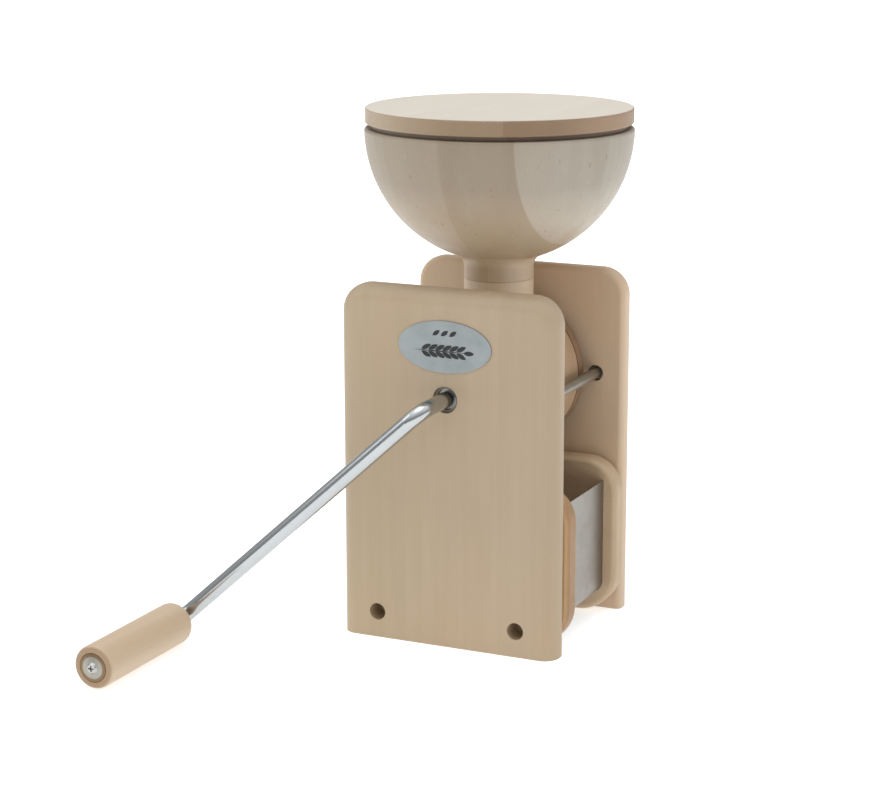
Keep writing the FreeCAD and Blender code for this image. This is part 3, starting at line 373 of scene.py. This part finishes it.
# Painted light: the neck's maple is painted lighter than the bowl's, to lift the shade under the bowl.
NECK_PAINTED_LIGHT_MAPLE = linear(212, 196, 172)
GRIP_BEECH = linear(198, 177, 151)
LID_BEECH = linear(168, 151, 129)
# Painted sheen: the paler colour of the lid's top, in place of light glancing off it.
LID_PAINTED_SHEEN = linear(215, 207, 193)
# Painted shade: the plug is painted darker, for the shade in the gap under the lid's edge.
PLUG_SHADED_BEECH = linear(128, 115, 100)

# Where the washer's painted shade begins, making the washer look smaller, as if set in a shadowed recess.
WASHER_SHADE_RADIUS = 8.6 * MM

# Boards as lists of (distance from the middle, tone): factors of the piece's own colour. On the
# hopper, neck and lid they are partly the boards' own tones and partly painted light and shade.
BOARD_TONES = [(1.0, 0.995, 0.98), (0.985, 0.98, 0.975), (1.0, 0.99, 1.0), (0.98, 0.975, 0.985)]
# The bowl: board tones, with painted shade darkening the left board towards the middle and painted light
# brightening the right one towards its outer side.
HOPPER_TONES_AND_SHADE = [
    [(-110 * MM, (0.86, 0.83, 0.79)), (5 * MM, (0.80, 0.74, 0.67))],
    [(5 * MM, (0.74, 0.67, 0.58)), (57 * MM, (0.76, 0.70, 0.62))],
    [(57 * MM, (0.93, 0.93, 0.94)), (110 * MM, (0.95, 0.96, 0.98))],
]
# The neck: two boards, with painted light brightening the right one towards its outer side.
NECK_TONES_AND_SHADE = [
    [(-60 * MM, (0.74, 0.67, 0.57)), (5 * MM, (0.73, 0.66, 0.57))],
    [(5 * MM, (0.79, 0.73, 0.67)), (60 * MM, (0.94, 0.90, 0.90))],
]
# The lid: board tones, with painted light on its left side and right edge and painted shade across its
# middle.
LID_TONES_AND_SHADE = [
    [(-110 * MM, (1.08, 1.08, 1.07)), (-40 * MM, (1.04, 1.04, 1.02)), (15 * MM, (0.71, 0.64, 0.55)),
     (50 * MM, (0.70, 0.62, 0.53))],
    [(50 * MM, (0.59, 0.48, 0.38)), (80 * MM, (0.62, 0.51, 0.42)), (110 * MM, (0.94, 0.80, 0.71))],
]
bowl_low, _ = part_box("hopper_bowl")
# Painted light: the front panel is painted brighter towards its foot, in place of light thrown up from the
# floor.
FRONT_PAINTED_UNDERLIGHT = (UP, 110 * MM, 10 * MM, (1.10, 1.09, 1.07))
# Painted light: the bowl is painted brighter towards its underside, in place of light thrown up from the
# floor.
BOWL_PAINTED_UNDERLIGHT = (UP, bowl_low[2] + 60 * MM, bowl_low[2] + 8 * MM, (1.55, 1.52, 1.46))

front_low, front_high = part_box("front_panel")
front_board = (front_high[0] - front_low[0]) / len(BOARD_TONES)
PANEL_BOARDS = (ALONG_X, (0.0, 0.0, 0.0), flat_boards(front_low[0], front_board, BOARD_TONES))
HOPPER_BOARDS_AND_SHADE = (HOPPER_ACROSS, HOPPER_AXIS, HOPPER_TONES_AND_SHADE)
NECK_BOARDS_AND_SHADE = (HOPPER_ACROSS, HOPPER_AXIS, NECK_TONES_AND_SHADE)
LID_BOARDS_AND_SHADE = (HOPPER_ACROSS, HOPPER_AXIS, LID_TONES_AND_SHADE)
cover_low, cover_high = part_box("housing_rear_cover")

FINISHES = {
    "front_panel": wood("front_beech", BEECH, UP, PANEL_BOARDS, figure=0.5, painted_light_ramp=FRONT_PAINTED_UNDERLIGHT),
    "back_panel": wood("back_beech", INNER_BEECH, UP, PANEL_BOARDS, figure=0.7),
    # The seam lines on the housing and its cover are dark joints with painted shade added, at the seam groove
    # and at the cover's back edge.
    "housing_body": wood("housing_shaded_beech", HOUSING_SHADED_BEECH, ALONG_X, seam_and_shade_lines=[cover_low[1]]),
    "housing_rear_cover": wood("cover_beech", COVER_BEECH, ALONG_X,
                               seam_and_shade_lines=[cover_low[1], cover_high[1]]),
    "rear_spacer": wood("spacer_beech", INNER_BEECH, ALONG_X),
    "feed_socket": wood("socket_beech", SOCKET_BEECH, UP, figure=0.7),
    "hopper_bowl": wood("hopper_maple", MAPLE, UP, HOPPER_BOARDS_AND_SHADE, roughness=0.42, strokes=0.5,
                        painted_light_ramp=BOWL_PAINTED_UNDERLIGHT),
    "hopper_neck": wood("neck_maple", NECK_PAINTED_LIGHT_MAPLE, UP, NECK_BOARDS_AND_SHADE, roughness=0.42, figure=0.6),
    # The lid: a painted sheen on its top, and painted light and shade in its board tones.
    "lid": wood("lid_beech", LID_BEECH, HOPPER_ALONG, LID_BOARDS_AND_SHADE, roughness=0.46, figure=0.7,
                painted_top_sheen=LID_PAINTED_SHEEN, top_level=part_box("lid")[1][2]),
    "lid_plug": wood("plug_beech", PLUG_SHADED_BEECH, HOPPER_ALONG, LID_BOARDS_AND_SHADE),
    "drawer_front_end": wood("drawer_beech", DRAWER_BEECH, ALONG_X, figure=0.5, end_shade=0.9),
    "drawer_rear_end": wood("drawer_rear_beech", DRAWER_REAR_BEECH, ALONG_X),
    "grip": wood("grip_beech", GRIP_BEECH, ALONG_Y, figure=0.8, end_shade=0.85),
    "adjusting_knob": wood("knob_beech", GRIP_BEECH, ALONG_X),
    "knob_cap": wood("cap_beech", CAP_BEECH, ALONG_X),
    "label_plate": metal("label_satin", linear(155, 162, 164), 0.42, ALONG_X, depth=0.06),
    "crank_rod": metal("crank_chrome", linear(186, 190, 192), 0.19, depth=0.04, tint_wear=0.05),
    "panel_bush": metal("bush_dull", linear(128, 120, 105), 0.46, ALONG_Y),
    # The washer's outer band is painted shade, as of a shadowed recess round a smaller washer.
    "grip_washer": metal("washer_zinc", linear(166, 164, 156), 0.34, ALONG_X, tint_wear=0.25,
                         painted_rim_shade=(centre("grip_washer"), WASHER_SHADE_RADIUS, linear(130, 108, 82))),
    "tie_rods": metal("tie_zinc", linear(158, 153, 143), 0.40, ALONG_Y),
    "drawer_tray": metal("tray_steel", linear(149, 146, 140), 0.36, ALONG_Y, depth=0.12),
    "runner_stone": stone("runner_grit"),
    "fixed_stone": stone("fixed_grit"),
    "pressure_spring": metal("spring_wire", linear(120, 121, 124), 0.34),
    "stone_carrier": metal("carrier_alloy", linear(176, 177, 178), 0.5),
}
PLATED = metal("plated_steel", linear(188, 187, 184), 0.32, ALONG_Y, depth=0.08)
TURNED = metal("turned_steel", linear(150, 149, 146), 0.30, ALONG_Y)
BRONZE = metal("sintered_bronze", linear(170, 128, 78), 0.44, ALONG_Y)
BRASS = metal("turned_brass", linear(206, 172, 104), 0.28, ALONG_Y, depth=0.08)
SHARED = (
    (PLATED, ("sleeve_nuts", "housing_screws", "stator_screws", "cover_screws", "knob_washer",
              "carrier_pin", "anti_turn_pin", "shaft_nut", "grip_screw", "stator_plate", "feed_auger")),
    (TURNED, ("drive_shaft", "bearing_sleeve")),
    (BRONZE, ("rear_bush", "thrust_washer", "front_bearing")),
    (BRASS, ("threaded_inserts", "knob_insert")),
)
for finish, names in SHARED:
    for node_name in names:
        FINISHES[node_name] = finish

for node_name, item in NODES.items():
    item.data.materials.clear()
    item.data.materials.append(FINISHES[node_name])


# ---- the plate's generic motif -------------------------------------------------------------------

PRINT_HEIGHT = 0.12 * MM
PRINT_SUNK = 0.04 * MM
KERNEL_STEPS = 8
KERNEL_FULLNESS = 0.8
EAR_PAIRS = 6
EAR_GAP = 5.6 * MM
EAR_KERNEL = (8.6 * MM, 3.4 * MM)
EAR_LEAN = math.radians(27)
LOOSE_KERNEL = (7.0 * MM, 3.2 * MM)
LOOSE_LEAN = math.radians(35)
STEM_WIDTH = 0.9 * MM


def kernel(mesh, place, turn, size):
    """Adds a pointed oval of (length, width), raised on the plate, with its near end at (x, z)."""
    length, width = size
    x, z = place
    face_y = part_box("label_plate")[0][1]
    side = [(length * step / KERNEL_STEPS,
             width / 2 * math.sin(math.pi * step / KERNEL_STEPS) ** KERNEL_FULLNESS)
            for step in range(KERNEL_STEPS + 1)]
    outline = side + [(along, -out) for along, out in reversed(side[1:-1])]
    corners = [mesh.verts.new((x + along * math.cos(turn) - out * math.sin(turn), face_y + PRINT_SUNK,
                               z + along * math.sin(turn) + out * math.cos(turn)))
               for along, out in outline]
    raised = bmesh.ops.extrude_face_region(mesh, geom=[mesh.faces.new(corners)])["geom"]
    moved = [item for item in raised if isinstance(item, bmesh.types.BMVert)]
    bmesh.ops.translate(mesh, verts=moved, vec=(0.0, -PRINT_HEIGHT - PRINT_SUNK, 0.0))


def plate_motif():
    """A plain ear of grain in raised print, with three loose kernels above it."""
    ink = Graph("motif_ink", 0.5)
    blot = ink.noise(ink.place, 1500.0, 2.0)
    ink.join(ink.mix(ink.span(blot, 0.35, 0.7), linear(20, 21, 23), linear(38, 39, 42)),
             ink.shader.inputs["Base Color"])
    middle = centre("label_plate")
    level = middle.z - 3.2 * MM
    start = middle.x - EAR_GAP * (EAR_PAIRS + 0.6) / 2
    mesh = bmesh.new()
    kernel(mesh, (start - EAR_GAP * 1.1, level), 0.0, (EAR_GAP * (EAR_PAIRS + 1.6), STEM_WIDTH))
    for pair in range(EAR_PAIRS):
        for side in (-1, 1):
            place = (start + EAR_GAP * pair, level + side * 0.7 * MM)
            kernel(mesh, place, side * EAR_LEAN, EAR_KERNEL)
    kernel(mesh, (start + EAR_GAP * EAR_PAIRS, level), 0.0, EAR_KERNEL)
    for offset in (-9.5 * MM, -2.8 * MM, 3.9 * MM):
        kernel(mesh, (middle.x + offset, middle.z + 8.2 * MM), LOOSE_LEAN, LOOSE_KERNEL)
    bmesh.ops.recalc_face_normals(mesh, faces=mesh.faces)
    data = bpy.data.meshes.new("plate_motif")
    mesh.to_mesh(data)
    mesh.free()
    motif = bpy.data.objects.new("plate_motif", data)
    bpy.context.scene.collection.objects.link(motif)
    data.materials.append(ink.material)
    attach(motif, "frame")


plate_motif()


# ---- floor, light and camera ---------------------------------------------------------------------

FLOOR_REACH = 40.0
FLOOR_TONE = (0.72, 0.72, 0.72, 1.0)
FLOOR_GLOW = 0.62
WHITE = (1.0, 1.0, 1.0, 1.0)
EYE_LEVEL_LIGHT = 0.36
OVERHEAD_LIGHT = 1.65
FRONT_DIP = 0.2


def floor():
    """A wide pale floor under the mill, which gives off a little light to soften the shadows."""
    reach = FLOOR_REACH
    data = bpy.data.meshes.new("floor")
    data.from_pydata([(-reach, -reach, 0), (reach, -reach, 0), (reach, reach, 0), (-reach, reach, 0)], [],
                     [(0, 1, 2, 3)])
    plane = bpy.data.objects.new("floor", data)
    plane.location.z = CAD_BOX[0][2]
    bpy.context.scene.collection.objects.link(plane)
    paper = Graph("floor_paper", 0.95)
    paper.shader.inputs["Base Color"].default_value = FLOOR_TONE
    paper.shader.inputs["Specular IOR Level"].default_value = 0.0
    paper.shader.inputs["Emission Color"].default_value = WHITE
    paper.shader.inputs["Emission Strength"].default_value = FLOOR_GLOW
    data.materials.append(paper.material)


def studio_world():
    """A white studio: brightest overhead, dim at eye level, and darkest at eye level in front."""
    world = bpy.data.worlds.new("studio")
    world.use_nodes = True
    tree = world.node_tree
    background = tree.nodes["Background"]
    background.inputs["Color"].default_value = WHITE

    def step(operation, first, second=0.0):
        """One step of arithmetic on numbers or sockets."""
        item = tree.nodes.new("ShaderNodeMath")
        item.operation = operation
        for socket, value in zip(item.inputs, (first, second)):
            if isinstance(value, (int, float)):
                socket.default_value = value
            else:
                tree.links.new(value, socket)
        return item.outputs[0]

    split = tree.nodes.new("ShaderNodeSeparateXYZ")
    tree.links.new(tree.nodes.new("ShaderNodeTexCoord").outputs["Generated"], split.inputs[0])
    height = step("MULTIPLY", split.outputs["Z"], split.outputs["Z"])
    light = step("ADD", EYE_LEVEL_LIGHT, step("MULTIPLY", height, OVERHEAD_LIGHT - EYE_LEVEL_LIGHT))
    level = step("POWER", step("SUBTRACT", 1.0, height), 6.0)
    front = step("MAXIMUM", step("MULTIPLY", split.outputs["Y"], -1.0), 0.0)
    dip = step("MULTIPLY", step("MULTIPLY", step("POWER", front, 2.0), level), FRONT_DIP)
    tree.links.new(step("MULTIPLY", light, step("SUBTRACT", 1.0, dip)), background.inputs["Strength"])
    bpy.context.scene.world = world


def soft_box(name, azimuth, elevation, distance, width, power):
    """A square soft light, aimed at the mill. Azimuth 0 is in front of it."""
    target = (Vector(CAD_BOX[0]) + Vector(CAD_BOX[1])) / 2
    turn, lift = math.radians(azimuth), math.radians(elevation)
    away = Vector((math.sin(turn) * math.cos(lift), -math.cos(turn) * math.cos(lift), math.sin(lift)))
    lamp = bpy.data.lights.new(name, "AREA")
    lamp.shape = "SQUARE"
    lamp.size = width
    lamp.energy = power
    item = bpy.data.objects.new(name, lamp)
    item.location = target + away * distance
    item.rotation_euler = away.to_track_quat("Z", "Y").to_euler()
    bpy.context.scene.collection.objects.link(item)


VIEW_AZIMUTH = math.radians(25.103)
VIEW_ELEVATION = math.radians(13.117)
VIEW_ROLL = math.radians(-0.118)
VIEW_PLACE = Vector((0.69832, -1.51007, 0.57662))
VIEW_LENS = 95.39


def camera():
    """The view of the mill from its front right, a little above it."""
    data = bpy.data.cameras.new("view")
    data.sensor_width = 36.0
    data.lens = VIEW_LENS
    data.clip_end = 200.0
    item = bpy.data.objects.new("view", data)
    item.matrix_world = (Matrix.Translation(VIEW_PLACE) @ Matrix.Rotation(VIEW_AZIMUTH, 4, "Z")
                         @ Matrix.Rotation(math.pi / 2 - VIEW_ELEVATION, 4, "X")
                         @ Matrix.Rotation(VIEW_ROLL, 4, "Z"))
    bpy.context.scene.collection.objects.link(item)
    bpy.context.scene.camera = item


floor()
studio_world()
soft_box("right_box", azimuth=95, elevation=32, distance=2.2, width=1.3, power=1.0)
soft_box("left_box", azimuth=-60, elevation=34, distance=2.2, width=1.1, power=4.0)
soft_box("top_box", azimuth=20, elevation=82, distance=2.0, width=1.4, power=5.0)
camera()
bpy.context.scene.view_settings.view_transform = "Standard"
